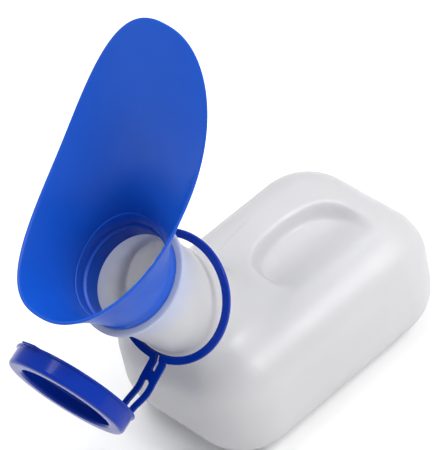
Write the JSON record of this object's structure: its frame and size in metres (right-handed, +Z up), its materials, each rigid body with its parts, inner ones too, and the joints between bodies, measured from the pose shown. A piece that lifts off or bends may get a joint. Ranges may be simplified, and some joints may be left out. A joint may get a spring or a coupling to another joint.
{
  "type": "urine bottle",
  "caption": "Flat milky flask lying on its broad face with a finger grip and raised neck, a blue scoop funnel in the mouth and a snap cap on a slotted strap from a neck ring.",
  "frame": {"origin": "middle of the flat base that the flask lies on", "axes": "+Z up out of the base, -X towards the neck end, +Y towards the handle bar"},
  "size_m": [0.2452, 0.119, 0.2748],
  "materials": {
    "milky_plastic": "translucent natural blow-moulded, satin",
    "funnel_blue": "satin injection-moulded",
    "cap_navy": "gloss injection-moulded"
  },
  "bodies": {
    "bottle": {"flask_lower": "milky_plastic", "flask_upper": "milky_plastic", "neck": "milky_plastic"},
    "funnel": {"funnel_scoop": "funnel_blue", "funnel_spigot": "funnel_blue"},
    "ring": {"neck_ring": "cap_navy"},
    "strap_top": {"strap_upper": "cap_navy"},
    "strap_end": {"strap_lower": "cap_navy"},
    "cap": {"cap": "cap_navy"}
  },
  "joints": [
    {"name": "funnel_lift", "type": "slide", "parent": "bottle", "child": "funnel", "axis": [-0.5446, 0, 0.8387], "range_m": [0, 0.06]},
    {"name": "ring_turn", "type": "hinge", "parent": "bottle", "child": "ring", "pos_m": [-0.092, 0, 0.139], "axis": [-0.5446, 0, 0.8387], "range_deg": [-10, 10]},
    {"name": "strap_root", "type": "hinge", "parent": "ring", "child": "strap_top", "pos_m": [-0.0914, -0.0057, 0.0755], "axis": [0, 1, 0], "range_deg": [-6, 5], "stiffness_Nm_per_rad": 0.3},
    {"name": "strap_knee", "type": "hinge", "parent": "strap_top", "child": "strap_end", "pos_m": [-0.1043, -0.0025, 0.0604], "axis": [0, 1, 0], "range_deg": [-6, 5], "stiffness_Nm_per_rad": 0.3},
    {"name": "cap_bend", "type": "hinge", "parent": "strap_end", "child": "cap", "pos_m": [-0.1182, 0.005, 0.047], "axis": [0.007, 0.9546, -0.2977], "range_deg": [-10, 8], "stiffness_Nm_per_rad": 0.2}
  ]
}
